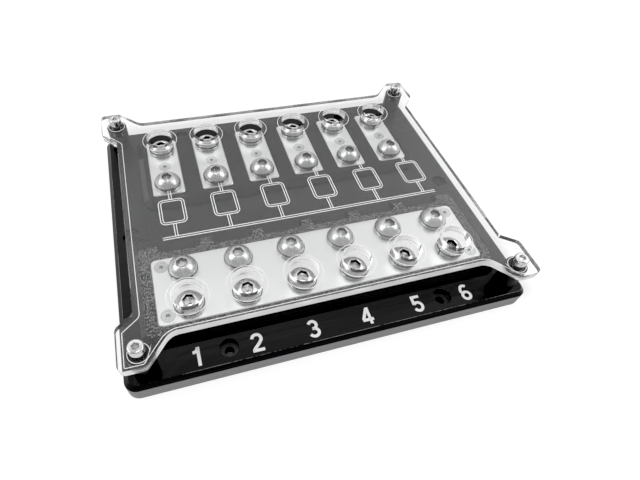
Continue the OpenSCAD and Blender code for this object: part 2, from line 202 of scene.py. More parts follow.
def activate(*objects):
    """Selects these objects alone and makes the first one active."""
    deselect()
    for obj in objects:
        obj.select_set(True)
    bpy.context.view_layer.objects.active = objects[0]


def drop(obj):
    """Deletes a cutter or a master that has done its work."""
    activate(obj)
    bpy.ops.object.delete()


def join_as(name, objects):
    """Joins objects to one named piece, with its place in its mesh."""
    activate(*objects)
    bpy.ops.object.transform_apply(location=True, rotation=True, scale=True)
    bpy.ops.object.join()
    piece = bpy.context.object
    piece.name = name
    return piece


def close_mesh():
    """Turns all faces of the mesh in edit mode outwards and goes back to object mode."""
    bpy.ops.mesh.select_all(action="SELECT")
    bpy.ops.mesh.normals_make_consistent(inside=False)
    bpy.ops.object.mode_set(mode="OBJECT")


def smooth(obj, angle):
    """Smooths the shading of a piece, apart from edges sharper than an angle in degrees."""
    activate(obj)
    bpy.ops.object.shade_smooth_by_angle(angle=math.radians(angle))


def select_faces(obj, test):
    """Selects the faces that pass the test, in edit mode."""
    bpy.ops.mesh.select_mode(type="FACE")
    mesh = bmesh.from_edit_mesh(obj.data)
    for face in mesh.faces:
        face.select_set(test(face))
    bmesh.update_edit_mesh(obj.data)


def arc(cx, cy, rx, ry, start, stop, steps=14):
    """Points along part of an ellipse, in degrees."""
    angles = (math.radians(start + (stop - start) * k / steps) for k in range(steps + 1))
    return [(cx + rx * math.cos(angle), cy + ry * math.sin(angle)) for angle in angles]


def turned(name, rings, sides):
    """Turns a solid from its lowest ring upwards; a ring is a (radius, height) pair."""
    deselect()
    radius, height = rings[0]
    bpy.ops.mesh.primitive_circle_add(
        vertices=sides, radius=radius, fill_type="NGON", location=(0, 0, 0), enter_editmode=True)
    obj = bpy.context.object
    obj.name = name
    bpy.ops.transform.translate(value=(0, 0, height))
    for next_radius, next_height in rings[1:]:
        bpy.ops.mesh.extrude_region_move(
            TRANSFORM_OT_translate={"value": (0, 0, next_height - height)})
        ratio = next_radius / radius
        bpy.ops.transform.resize(
            value=(ratio, ratio, 1), center_override=(0, 0, next_height))
        radius, height = next_radius, next_height
    close_mesh()
    return obj


def sink_socket(obj, across, top, depth, mouth):
    """Cuts a hexagon socket with a drilled bottom and a slightly widened mouth."""
    radius = across / math.sqrt(3)
    drill_r, drill_depth, tip_r = 0.93 * radius, 1.35 * depth, 0.12 * radius
    cutter = turned("socket_cutter", [
        (tip_r, top - drill_depth), (drill_r, top - depth), (radius, top - depth),
        (radius, top - mouth), (radius + mouth, top), (radius + 2 * mouth, top + mouth)], sides=6)
    activate(obj)
    cut = obj.modifiers.new("socket", "BOOLEAN")
    cut.operation = "DIFFERENCE"
    cut.object = cutter
    bpy.ops.object.modifier_apply(modifier=cut.name)
    drop(cutter)


def soften(obj, width, angle):
    """Breaks the edges of a solid that are sharper than an angle, and smooths its shading."""
    activate(obj)
    edge = obj.modifiers.new("edges", "BEVEL")
    edge.width = width
    edge.segments = 2
    edge.limit_method = "ANGLE"
    edge.angle_limit = math.radians(angle)
    bpy.ops.object.modifier_apply(modifier=edge.name)
    smooth(obj, angle)


def copies(master, places, turns, name):
    """Copies a master to each place, turned about its axis, and joins the copies to one piece."""
    made = []
    for place, turn in zip(places, turns):
        copy = master.copy()
        copy.data = master.data.copy()
        bpy.context.collection.objects.link(copy)
        copy.location = place
        copy.rotation_euler = (0, 0, turn)
        made.append(copy)
    return join_as(name, made)


def finish_piece(piece, material, slot, *nodes):
    """Gives a piece its material and its body, and hides the CAD nodes that it stands for; its slot is
    not used.
    """
    piece.data.materials.clear()
    piece.data.materials.append(material)
    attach(piece, BODY)
    if nodes:
        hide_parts(*nodes)


def dress(name, material):
    """Gives a CAD node its finished material."""
    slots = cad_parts[name].data.materials
    slots.clear()
    slots.append(material)


# Node helpers

def node(tree, kind, **settings):
    """Adds a shader node with these settings."""
    made = tree.nodes.new(kind)
    for key, value in settings.items():
        setattr(made, key, value)
    return made


def feed(tree, value, socket):
    """Gives an input its value: an output that is linked to it, a colour or a number."""
    if isinstance(value, bpy.types.NodeSocket):
        tree.links.new(value, socket)
    elif socket.type == "RGBA":
        socket.default_value = (*value, 1)
    else:
        socket.default_value = value


def maths(tree, operation, *values):
    """Works out a value from numbers and outputs."""
    made = node(tree, "ShaderNodeMath", operation=operation)
    for value, socket in zip(values, made.inputs):
        feed(tree, value, socket)
    return made.outputs[0]


def parts(tree, vector):
    """The separate x, y and z of a vector."""
    split = node(tree, "ShaderNodeSeparateXYZ")
    feed(tree, vector, split.inputs[0])
    return tuple(split.outputs)


def noise(tree, vector, scale, detail, roughness=0.5):
    """Gives the value of a noise texture."""
    made = node(tree, "ShaderNodeTexNoise")
    feed(tree, vector, made.inputs["Vector"])
    feed(tree, scale, made.inputs["Scale"])
    feed(tree, detail, made.inputs["Detail"])
    feed(tree, roughness, made.inputs["Roughness"])
    return made.outputs["Fac"]


def spread(tree, value, low, high, from_low=0.0, from_high=1.0):
    """Maps a value from one range to another and keeps it inside."""
    made = node(tree, "ShaderNodeMapRange")
    feed(tree, value, made.inputs["Value"])
    feed(tree, from_low, made.inputs["From Min"])
    feed(tree, from_high, made.inputs["From Max"])
    feed(tree, low, made.inputs["To Min"])
    feed(tree, high, made.inputs["To Max"])
    return made.outputs["Result"]


def mixed(tree, factor, first, second):
    """Mixes two colours; each is an output or a plain colour."""
    made = node(tree, "ShaderNodeMix", data_type="RGBA")
    feed(tree, factor, made.inputs["Factor"])
    colour_inputs = [socket for socket in made.inputs if socket.type == "RGBA"]
    for colour, socket in zip((first, second), colour_inputs):
        feed(tree, colour, socket)
    return next(socket for socket in made.outputs if socket.type == "RGBA")


def bump(tree, height, shader, strength, distance):
    """Bends a shader's normal by a height."""
    made = node(tree, "ShaderNodeBump")
    feed(tree, strength, made.inputs["Strength"])
    feed(tree, distance, made.inputs["Distance"])
    feed(tree, height, made.inputs["Height"])
    feed(tree, made.outputs["Normal"], shader.inputs["Normal"])


def tint(colour, share):
    """A colour made darker or lighter."""
    return tuple(share * part for part in colour)


def grey(level):
    """A neutral colour."""
    return (level, level, level)


def group(name, inputs, outputs):
    """Starts a shader node group with named sockets."""
    tree = bpy.data.node_groups.new(name, "ShaderNodeTree")
    for label, kind, default in inputs:
        socket = tree.interface.new_socket(label, in_out="INPUT", socket_type=kind)
        if default is not None:
            socket.default_value = default
    for label in outputs:
        tree.interface.new_socket(label, in_out="OUTPUT", socket_type="NodeSocketFloat")
    given = node(tree, "NodeGroupInput").outputs
    return tree, given, node(tree, "NodeGroupOutput").inputs


def smudge_group():
    """Soft, cloudy unevenness that handling leaves on any finish."""
    tree, given, out = group("Smudge", [
        ("Vector", "NodeSocketVector", None), ("Low", "NodeSocketFloat", 0.2),
        ("High", "NodeSocketFloat", 0.4)], ["Value"])
    fine_share, darkest, brightest = 0.35, 0.32, 0.68
    broad = noise(tree, given["Vector"], scale=45.0, detail=3.0)
    fine = noise(tree, given["Vector"], scale=700.0, detail=2.0)
    both = maths(tree, "MULTIPLY_ADD", fine, fine_share,
                 maths(tree, "MULTIPLY", broad, 1 - fine_share))
    feed(tree, spread(tree, both, given["Low"], given["High"], darkest, brightest), out["Value"])
    return tree


def tool_mark_group():
    """Parallel lines left by a saw, cutter or brush, along the axis with the smallest scale."""
    tree, given, out = group("Tool marks", [
        ("Vector", "NodeSocketVector", None), ("Lines", "NodeSocketVector", (1, 1, 1))], ["Height"])
    scaled = node(tree, "ShaderNodeVectorMath", operation="MULTIPLY")
    feed(tree, given["Vector"], scaled.inputs[0])
    feed(tree, given["Lines"], scaled.inputs[1])
    lines = noise(tree, scaled.outputs[0], scale=1.0, detail=4.0, roughness=0.65)
    feed(tree, lines, out["Height"])
    return tree


def pebble_group():
    """Cast-like pebbled skin with raised, scuffed flecks."""
    tree, given, out = group("Pebble", [
        ("Vector", "NodeSocketVector", None), ("Scale", "NodeSocketFloat", 900.0)],
        ["Height", "Flecks"])
    softness, grain_share, fleck_height = 0.6, 0.5, 0.72
    cells = node(tree, "ShaderNodeTexVoronoi", feature="SMOOTH_F1")
    feed(tree, softness, cells.inputs["Smoothness"])
    feed(tree, given["Vector"], cells.inputs["Vector"])
    feed(tree, given["Scale"], cells.inputs["Scale"])
    grain = noise(tree, given["Vector"], given["Scale"], detail=3.0)
    bumps = maths(tree, "SUBTRACT", 1.0, cells.outputs["Distance"])
    height = maths(tree, "MULTIPLY_ADD", grain, grain_share, bumps)
    feed(tree, height, out["Height"])
    feed(tree, spread(tree, height, 0.0, 1.0, fleck_height, 1.0), out["Flecks"])
    return tree


GROUP_MAKERS = {"Smudge": smudge_group, "Tool marks": tool_mark_group, "Pebble": pebble_group}


def placed(tree, name, vector, **values):
    """Places a shared node group in a material and gives its outputs."""
    made = node(tree, "ShaderNodeGroup")
    made.node_tree = bpy.data.node_groups.get(name) or GROUP_MAKERS[name]()
    feed(tree, vector, made.inputs["Vector"])
    for label, value in values.items():
        feed(tree, value, made.inputs[label])
    return made.outputs


def smudge(tree, place, low, high):
    """A cloudy value between two levels."""
    return placed(tree, "Smudge", place, Low=low, High=high)["Value"]


def tool_marks(tree, place, lines):
    """Height of tool marks, with this many lines to the metre along each axis."""
    return placed(tree, "Tool marks", place, Lines=lines)["Height"]


def started(name, **constants):
    """Starts a material: itself, its tree, its Principled shader and its Object coordinates."""
    material = bpy.data.materials.new(name)
    material.use_nodes = True
    tree = material.node_tree
    shader = tree.nodes["Principled BSDF"]
    for label, value in constants.items():
        feed(tree, value, shader.inputs[label.replace("_", " ")])
    return material, tree, shader, node(tree, "ShaderNodeTexCoord").outputs["Object"]


def from_axis(tree, x, y, rows):
    """Distance from the nearest bolt axis, over the given rows of bolts."""
    places = row_places(f"{rows[0]}_bolts")
    half_step = (places[1].x - places[0].x) / 2
    along = maths(tree, "WRAP", maths(tree, "SUBTRACT", x, places[0].x), half_step, -half_step)
    across = [maths(tree, "ABSOLUTE", maths(tree, "SUBTRACT", y, middle(f"{row}_bolts").y))
              for row in rows]
    nearest = across[0]
    for other in across[1:]:
        nearest = maths(tree, "MINIMUM", nearest, other)
    return maths(tree, "SQRT", maths(tree, "MULTIPLY_ADD", along, along,
                                     maths(tree, "MULTIPLY", nearest, nearest)))


# Finishes

# Room that tells a face from what lies just above or below it
FACE_ROOM = 0.05 * MM
# From the floor down to the foot of the base's slanted edge
SLANT_DROP = 2.15 * MM
# How far in from the base's outline its outer sides reach
SIDE_ROOM = 3 * MM
# Share of the outer sides' grey on the walls of the mounting holes and on the underside
INNER_GREY = 0.25
# Painted highlight along the floor's outer edge: from the floor down to its middle, and half its height
EDGE_HIGHLIGHT_DROP, EDGE_HIGHLIGHT_HALF = 0.1 * MM, 0.08 * MM
# Half the height of the painted shade line where two fittings meet, and the share of colour left in it
PAINTED_SHADE_HALF, PAINTED_SHADE_SHARE = 0.2 * MM, 0.12
ACRYLIC_IOR = 1.49
# Share of light thrown back inside the cover past which it counts as trapped
TRAPPED_SHARE = 0.9
# Around the axis of a wire bolt, where the cover's edge is the wall of an access hole
HOLE_REACH = 10 * MM


def milled_plastic(colours):
    """Black plastic: polished floor and slants, pebbled island tops, grey sawn sides."""
    material, tree, shader, place = started(
        "Milled black plastic", Specular_IOR_Level=0.1, Coat_Roughness=0.05)
    x, y, z = parts(tree, place)
    outer = maths(tree, "MAXIMUM", *(
        maths(tree, "GREATER_THAN", maths(tree, "ABSOLUTE", across), reach - SIDE_ROOM)
        for across, reach in zip((x, y), BASE_HIGH)))
    upright = maths(tree, "MULTIPLY", outer, maths(tree, "GREATER_THAN", z, FACE_ROOM))
    on_side = maths(tree, "MULTIPLY", spread(tree, upright, INNER_GREY, 1.0),
                    maths(tree, "LESS_THAN", z, FLOOR_Z - SLANT_DROP))
    on_island = maths(tree, "GREATER_THAN", z, ISLAND_Z - FACE_ROOM)
    dull = maths(tree, "MAXIMUM", on_side, on_island)
    polished = maths(tree, "SUBTRACT", 1.0, dull)
    behind = maths(tree, "GREATER_THAN", y, 0.0)

    saw = tool_marks(tree, place, (18, 18, 5200))
    cutter = tool_marks(tree, place, (16, 900, 16))
    cloud = smudge(tree, place, 0.0, 1.0)
    coarse = placed(tree, "Pebble", place, Scale=1600.0)
    fine = placed(tree, "Pebble", place, Scale=2600.0)

    side_tone = mixed(tree, saw, tint(colours.milled, 0.72), tint(colours.milled, 1.3))
    floor_tone = mixed(tree, cutter, colours.plastic, tint(colours.plastic, 2.2))
    # Painted highlight: a light line along the floor's outer edge, broken up by the smudge
    edge_line = maths(tree, "COMPARE", z, FLOOR_Z - EDGE_HIGHLIGHT_DROP, EDGE_HIGHLIGHT_HALF)
    painted_edge_highlight = maths(tree, "MULTIPLY", edge_line, spread(tree, cloud, 0.0, 1.0, 0.3, 0.6))
    floor_tone = mixed(tree, painted_edge_highlight, floor_tone, tint(colours.milled, 1.1))
    fleck_share = maths(tree, "SUBTRACT", 1.0, maths(tree, "MULTIPLY", behind, 0.8))
    flecks = maths(tree, "MULTIPLY", coarse["Flecks"], fleck_share)
    island_tone = mixed(tree, flecks, grey(0.004), grey(0.3))
    top_tone = mixed(tree, on_island, floor_tone, island_tone)
    feed(tree, mixed(tree, on_side, top_tone, side_tone), shader.inputs["Base Color"])

    gloss = maths(tree, "MULTIPLY_ADD", cloud, 0.1, 0.15)
    feed(tree, maths(tree, "MULTIPLY_ADD", dull, 0.3, gloss), shader.inputs["Roughness"])
    feed(tree, maths(tree, "MULTIPLY", polished, spread(tree, cloud, 0.27, 0.23)),
         shader.inputs["Coat Weight"])
    finer = maths(tree, "SUBTRACT", fine["Height"], coarse["Height"])
    pebble = maths(tree, "MULTIPLY_ADD", behind, finer, coarse["Height"])
    saw_relief = maths(tree, "MULTIPLY", saw, maths(tree, "MULTIPLY", on_side, 0.25))
    relief = maths(tree, "ADD", maths(tree, "MULTIPLY", pebble, on_island), saw_relief)
    bump(tree, relief, shader, strength=0.6, distance=0.12 * MM)
    return material


def satin_aluminium(colours):
    """Aluminium bar with a fine rolled grain from side to side."""
    material, tree, shader, place = started("Satin aluminium", Metallic=1.0)
    grain = tool_marks(tree, place, (60, 2600, 2600))
    feed(tree, smudge(tree, place, 0.3, 0.35), shader.inputs["Roughness"])
    feed(tree, mixed(tree, grain, tint(colours.aluminium, 0.93), colours.aluminium),
         shader.inputs["Base Color"])
    bump(tree, grain, shader, strength=0.12, distance=0.02 * MM)
    return material


def bright_steel(colours, name, roughness, shade, joints=(), socket=None):
    """Turned stainless steel, with painted shade at the heights of its joints and on the walls of its
    sockets.
    """
    material, tree, shader, place = started(name, Metallic=1.0)
    feed(tree, smudge(tree, place, *roughness), shader.inputs["Roughness"])
    turning = tool_marks(tree, place, (500, 500, 6500))
    tone = mixed(tree, turning, tint(colours.steel, 0.85 * shade), tint(colours.steel, shade))
    x, y, z = parts(tree, place)
    # Painted shade: dark lines at the heights of the joints, and on the walls of the sockets
    painted_shade_masks = [maths(tree, "COMPARE", z, joint, PAINTED_SHADE_HALF) for joint in joints]
    if socket:
        radius, wall_low, wall_high = socket
        inside = maths(tree, "LESS_THAN", from_axis(tree, x, y, BOLT_ROWS), radius)
        painted_shade_wall = maths(tree, "COMPARE", z, (wall_low + wall_high) / 2, (wall_high - wall_low) / 2)
        painted_shade_masks.append(maths(tree, "MULTIPLY", inside, painted_shade_wall))
    for mask in painted_shade_masks:
        tone = mixed(tree, mask, tone, tint(colours.steel, PAINTED_SHADE_SHARE))
    feed(tree, tone, shader.inputs["Base Color"])
    bump(tree, turning, shader, strength=0.04, distance=0.02 * MM)
    return material


def turned_plastic():
    """Black standoff with fine rings from the lathe."""
    material, tree, shader, place = started("Turned black plastic", Specular_IOR_Level=0.15)
    rings = tool_marks(tree, place, (12, 12, 4200))
    feed(tree, mixed(tree, rings, grey(0.006), grey(0.014)), shader.inputs["Base Color"])
    feed(tree, smudge(tree, place, 0.3, 0.45), shader.inputs["Roughness"])
    bump(tree, rings, shader, strength=0.25, distance=0.03 * MM)
    return material


def clear_acrylic():
    """Clear cast sheet with polished faces, and a faint frost of cutter marks on its edges."""
    material, tree, shader, place = started(
        "Clear acrylic", Transmission_Weight=1.0, IOR=ACRYLIC_IOR)
    facing = parts(tree, place.node.outputs["Normal"])
    edge = maths(tree, "LESS_THAN", maths(tree, "ABSOLUTE", facing[2]), FLAT_FACING)
    x, y, _ = parts(tree, place)
    bored = maths(tree, "LESS_THAN", from_axis(tree, x, y, WIRE_ROWS), HOLE_REACH)
    sawn = maths(tree, "MULTIPLY", edge, maths(tree, "SUBTRACT", 1.0, bored))
    marks = tool_marks(tree, place, (300, 300, 40))
    feed(tree, mixed(tree, sawn, (0.94, 0.945, 0.945), grey(0.62)), shader.inputs["Base Color"])
    feed(tree, maths(tree, "MULTIPLY", sawn, spread(tree, marks, 0.3, 0.5, 0.3, 0.7)),
         shader.inputs["Roughness"])

    # Shadows pass through, and so do reflections that meet the sheet from outside or stay trapped in it
    passing = node(tree, "ShaderNodeBsdfTransparent")
    feed(tree, grey(0.9), passing.inputs["Color"])
    path = node(tree, "ShaderNodeLightPath").outputs
    gloss = node(tree, "ShaderNodeFresnel")
    feed(tree, ACRYLIC_IOR, gloss.inputs["IOR"])
    trapped = maths(tree, "GREATER_THAN", gloss.outputs["Fac"], TRAPPED_SHARE)
    inside = node(tree, "ShaderNodeNewGeometry").outputs["Backfacing"]
    outside = maths(tree, "SUBTRACT", 1.0, inside)
    bounced = maths(tree, "MULTIPLY", path["Is Reflection Ray"],
                    maths(tree, "MAXIMUM", trapped, outside))
    choose = node(tree, "ShaderNodeMixShader")
    feed(tree, maths(tree, "MAXIMUM", path["Is Shadow Ray"], bounced), choose.inputs[0])
    feed(tree, shader.outputs["BSDF"], choose.inputs[1])
    feed(tree, passing.outputs["BSDF"], choose.inputs[2])
    feed(tree, choose.outputs["Shader"], tree.nodes["Material Output"].inputs["Surface"])
    return material


def numeral_paint(colours):
    """White filling of the numerals, a little uneven."""
    material, tree, shader, place = started("Numeral paint")
    cloud = smudge(tree, place, 0.0, 1.0)
    feed(tree, mixed(tree, cloud, tint(colours.paint, 0.82), colours.paint),
         shader.inputs["Base Color"])
    feed(tree, spread(tree, cloud, 0.45, 0.65), shader.inputs["Roughness"])
    return material


def frosted_groove_painted_glow():
    """Frosted floor of a line cut into clear sheet, made bright by a painted glow."""
    # Painted glow: a faint even emission stands in for the light that the groove's edges catch
    material, tree, shader, place = started(
        "Frosted groove with painted glow", Emission_Color=grey(1.0), Emission_Strength=0.15)
    cloud = smudge(tree, place, 0.0, 1.0)
    feed(tree, mixed(tree, cloud, grey(0.75), grey(0.95)), shader.inputs["Base Color"])
    feed(tree, spread(tree, cloud, 0.4, 0.7), shader.inputs["Roughness"])
    return material


# Operators

class FUSEBLOCK_OT_base(bpy.types.Operator):
    """Finish the milled base"""

    bl_idname = "fuseblock.base"
    bl_label = "Finish base"

    def execute(self, context):
        dress("base", milled_plastic(context.scene.fuseblock_colours))
        return {"FINISHED"}


class FUSEBLOCK_OT_bars(bpy.types.Operator):
    """Finish the bus bar, the output plates and their countersunk screws"""

    bl_idname = "fuseblock.bars"
    bl_label = "Finish bars"

    def execute(self, context):
        colours = context.scene.fuseblock_colours
        aluminium = satin_aluminium(colours)
        for name in ("bus_bar", *PLATES):
            dress(name, aluminium)
        steel = bright_steel(colours, "Screw steel", roughness=(0.2, 0.34), shade=0.95)
        for name in ("bus_bar_screws", "plate_screws"):
            dress(name, steel)
        return {"FINISHED"}


class FUSEBLOCK_OT_standoffs(bpy.types.Operator):
    """Finish the four standoffs"""

    bl_idname = "fuseblock.standoffs"
    bl_label = "Finish standoffs"

    def execute(self, context):
        plastic = turned_plastic()
        for name in STANDOFFS:
            dress(name, plastic)
        return {"FINISHED"}


class FUSEBLOCK_OT_cover(bpy.types.Operator):
    """Finish the clear cover"""

    bl_idname = "fuseblock.cover"
    bl_label = "Finish cover"

    def execute(self, context):
        dress("cover", clear_acrylic())
        return {"FINISHED"}


class FUSEBLOCK_OT_bolts(bpy.types.Operator):
    """Model the domed terminal bolts of all four rows"""

    bl_idname = "fuseblock.bolts"
    bl_label = "Model terminal bolts"

    dome_rings: IntProperty(name="Dome rings", description="Rings in a bolt's dome", default=9)
    sides: IntProperty(name="Sides", description="Sides of a turned bolt", default=64)

    def profile(self, sizes, foot, seat, top, head_r):
        """Rings of a bolt, from the point of its shank to the flat on its dome."""
        point, break_r, flat_break = 0.9 * MM, 0.35 * MM, 0.25 * MM
        shank_r, flat_r = sizes.shank / 2, sizes.flat / 2
        head_h = top - seat
        dome_h = head_h - sizes.rim
        centre = (head_h ** 2 + flat_r ** 2 - sizes.rim ** 2 - head_r ** 2) / (2 * dome_h)
        dome_r = math.hypot(flat_r, head_h - centre)
        first, last = math.asin(head_r / dome_r), math.asin(flat_r / dome_r)
        rings = [
            (shank_r - point, foot), (shank_r, foot + point), (shank_r, seat),
            (head_r - break_r, seat), (head_r, seat + break_r),
            (head_r, seat + sizes.rim - FACE_ROOM)]
        for k in range(self.dome_rings + 1):
            angle = first + (last - first) * k / self.dome_rings
            rings.append((dome_r * math.sin(angle), seat + centre + dome_r * math.cos(angle)))
        rings.append((flat_r - flat_break, top))
        return rings

    def execute(self, context):
        sizes = context.scene.fuseblock_fittings
        mouth, edge_round, edge_angle = 0.3 * MM, 0.1 * MM, 32
        row_turn, bolt_turn = 17, 23
        low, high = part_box("bus_fuse_bolts")
        top, head_r = high.z, (high.y - low.y) / 2
        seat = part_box("bus_fuse_lock_washers")[1].z
        master = turned("bolt_master", self.profile(sizes, low.z, seat, top, head_r), self.sides)
        sink_socket(master, sizes.socket, top, sizes.socket_depth, mouth)
        soften(master, edge_round, edge_angle)
        socket_r = sizes.socket / math.sqrt(3) + FACE_ROOM
        # The walls of the bolt sockets get painted shade, and so does the seat, where the head meets its
        # washer
        painted_shade_socket_walls = (socket_r, top - sizes.socket_depth + edge_round, top - mouth)
        steel = bright_steel(context.scene.fuseblock_colours, "Bolt steel", roughness=(0.25, 0.31),
                             shade=1.0, joints=(seat,), socket=painted_shade_socket_walls)
        for k, row in enumerate(BOLT_ROWS):
            name = f"{row}_bolts"
            turns = [math.radians(row_turn * k + bolt_turn * c) for c in range(CIRCUITS)]
            piece = copies(master, row_places(name), turns, f"{row}_domed_bolts")
            finish_piece(piece, steel, "steel", name)
        drop(master)
        return {"FINISHED"}


class FUSEBLOCK_OT_washers(bpy.types.Operator):
    """Model the split lock washers of all four rows"""

    bl_idname = "fuseblock.washers"
    bl_label = "Model lock washers"

    steps: IntProperty(name="Steps", description="Steps round a washer", default=56)

    def execute(self, context):
        sizes = context.scene.fuseblock_fittings
        room, corner = 0.1 * MM, 0.28 * MM
        first_turn, row_turn, washer_turn = 205, 37, 61
        low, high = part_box("bus_fuse_lock_washers")
        outer, inner = (high.y - low.y) / 2, sizes.shank / 2 + room
        gap = sizes.split / outer
        deselect()
        bpy.ops.mesh.primitive_plane_add(size=1, location=(0, 0, 0), enter_editmode=True)
        master = context.object
        master.name = "washer_master"
        bpy.ops.transform.resize(value=(outer - inner, high.z - low.z, 1))
        bpy.ops.mesh.bevel(offset=corner, segments=3, affect="VERTICES")
        bpy.ops.transform.rotate(
            value=math.pi / 2, orient_axis="X", center_override=(0, 0, 0))
        bpy.ops.transform.translate(value=((outer + inner) / 2, 0, (low.z + high.z) / 2))
        bpy.ops.mesh.spin(
            steps=self.steps, angle=2 * math.pi - gap, center=(0, 0, 0), axis=(0, 0, 1))
        bpy.ops.mesh.select_all(action="SELECT")
        bpy.ops.mesh.remove_doubles(threshold=MERGE_ROOM)
        close_mesh()
        smooth(master, SHARP_ANGLE)
        # Painted shade at the washer's top and bottom, where it meets the bolt head and the bar or plate
        steel = bright_steel(context.scene.fuseblock_colours, "Washer steel", roughness=(0.2, 0.3),
                             shade=0.65, joints=(low.z, high.z))
        for k, row in enumerate(BOLT_ROWS):
            name = f"{row}_lock_washers"
            turns = [math.radians(first_turn + washer_turn * c + row_turn * k)
                     for c in range(CIRCUITS)]
            piece = copies(master, row_places(name), turns, f"{row}_spring_washers")
            finish_piece(piece, steel, "steel", name)
        drop(master)
        return {"FINISHED"}


class FUSEBLOCK_OT_cover_screws(bpy.types.Operator):
    """Model the four polished socket screws that hold the cover"""

    bl_idname = "fuseblock.cover_screws"
    bl_label = "Model cover screws"

    sides: IntProperty(name="Sides", description="Sides of a turned screw", default=48)

    def profile(self, sizes, low, seat, top, head_r):
        """Rings of a screw: its point, the grooves of its thread and its rounded head."""
        half_pitch, thread_cut = 0.35 * MM, 0.26 * MM
        point, neck, foot = 0.6 * MM, 0.1 * MM, 0.3 * MM
        thread_r, cap_round = sizes.cap_shank / 2, sizes.cap_round
        rings = [(thread_r - point, low), (thread_r - thread_cut, low + half_pitch)]
        height = low + 2 * half_pitch
        while height < seat - 2 * half_pitch:
            rings.append((thread_r, height))
            rings.append((thread_r - thread_cut, height + half_pitch))
            height += 2 * half_pitch
        rings += [(thread_r - neck, seat), (head_r - foot, seat), (head_r, seat + foot)]
        rings += arc(head_r - cap_round, top - cap_round, cap_round, cap_round, 0, 90, steps=6)
        return rings

    def execute(self, context):
        sizes = context.scene.fuseblock_fittings
        mouth, smooth_angle = 0.15 * MM, 28
        first_turn, screw_turn = 8, 31
        low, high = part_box("cover_screws")
        head_r = high.x - middle(STANDOFFS[1]).x
        rings = self.profile(sizes, low.z, COVER_HIGH.z, high.z, head_r)
        master = turned("cover_screw_master", rings, self.sides)
        sink_socket(master, sizes.cap_socket, high.z, sizes.cap_socket_depth, mouth)
        smooth(master, smooth_angle)
        places = [Vector((middle(name).x, middle(name).y, 0)) for name in STANDOFFS]
        turns = [math.radians(screw_turn * k + first_turn) for k in range(len(places))]
        piece = copies(master, places, turns, "socket_cover_screws")
        steel = bright_steel(context.scene.fuseblock_colours, "Cover screw steel",
                             roughness=(0.16, 0.24), shade=1.05)
        finish_piece(piece, steel, "steel", "cover_screws")
        drop(master)
        return {"FINISHED"}


# Middle lines of the numerals, one unit high between the outer edges of the strokes
INSET = 0.0775
NUMERALS = {
    1: [[(-0.2, 0.735), (-0.06, 0.765), (0.045, 0.86), (0.07, 0.99)], [(0.07, 1.0), (0.07, 0.0)]],
    2: [arc(0.0, 0.69, 0.235, 0.232, 172, -28) + [(0.06, 0.4), (-0.16, 0.2), (-0.235, INSET)],
        [(-0.31, INSET), (0.3, INSET)]],
    3: [arc(-0.01, 0.715, 0.205, 0.208, 160, -90) + [(-0.07, 0.507)],
        arc(-0.01, 0.292, 0.24, 0.215, 90, -160)],
    4: [[(0.12, 0.0), (0.12, 0.99)], [(0.1, 0.95), (-0.27, 0.3)], [(-0.31, 0.275), (0.31, 0.275)]],
    5: [[(0.25, 1 - INSET), (-0.17, 1 - INSET)],
        [(-0.165, 1.0), (-0.215, 0.47)],
        arc(-0.015, 0.33, 0.24, 0.253, 142, -158)],
    6: [arc(0.0, 0.3, 0.225, 0.223, 0, 360, steps=24),
        arc(0.03, 0.57, 0.252, 0.352, 52, 188)],
}
# Share of a stroke's round section that is left as the height of its paint
PAINT_HEIGHT = 0.05


class FUSEBLOCK_OT_numerals(bpy.types.Operator):
    """Paint the circuit numerals on the floor in front of the bus bar"""

    bl_idname = "fuseblock.numerals"
    bl_label = "Paint numerals"

    def stroke(self, context, sizes, number, line):
        """Draws one stroke of a numeral as a round bar along its middle line."""
        data = bpy.data.curves.new(f"numeral_{number}", "CURVE")
        data.dimensions = "3D"
        data.bevel_depth = sizes.numeral_stroke / 2
        data.bevel_resolution = 3
        data.use_fill_caps = True
        spline = data.splines.new("POLY")
        spline.points.add(len(line) - 1)
        for point, (across, up) in zip(spline.points, line):
            point.co = (across * sizes.numeral_height, (up - 0.5) * sizes.numeral_height, 0, 1)
        obj = bpy.data.objects.new(f"numeral_{number}", data)
        context.collection.objects.link(obj)
        return obj

    def execute(self, context):
        sizes = context.scene.fuseblock_markings
        strokes = []
        row = BASE_LOW.y + sizes.numeral_row
        for number, place in enumerate(row_places("bus_wire_bolts"), 1):
            for line in NUMERALS[number]:
                stroke = self.stroke(context, sizes, number, line)
                stroke.location = (place.x - sizes.numeral_shift, row, FLOOR_Z)
                strokes.append(stroke)
        activate(*strokes)
        bpy.ops.object.convert(target="MESH")
        for stroke in strokes:
            stroke.scale.z = PAINT_HEIGHT
        piece = join_as("circuit_numerals", strokes)
        smooth(piece, SHARP_ANGLE)
        finish_piece(piece, numeral_paint(context.scene.fuseblock_colours), "black_base")
        return {"FINISHED"}


# Rows of the diagram, as shares of the way from the bus bar to the plates: its bus line, the front
# and the back of its boxes, and the ends of its stems
DIAGRAM_ROWS = (0.16, 0.34, 0.74, 0.88)
BOX_HALF_WIDTH, BOX_CORNER = 7 * MM, 3 * MM
# How far above the cover's underside the engraved lines start
GROOVE_RISE = 0.02 * MM


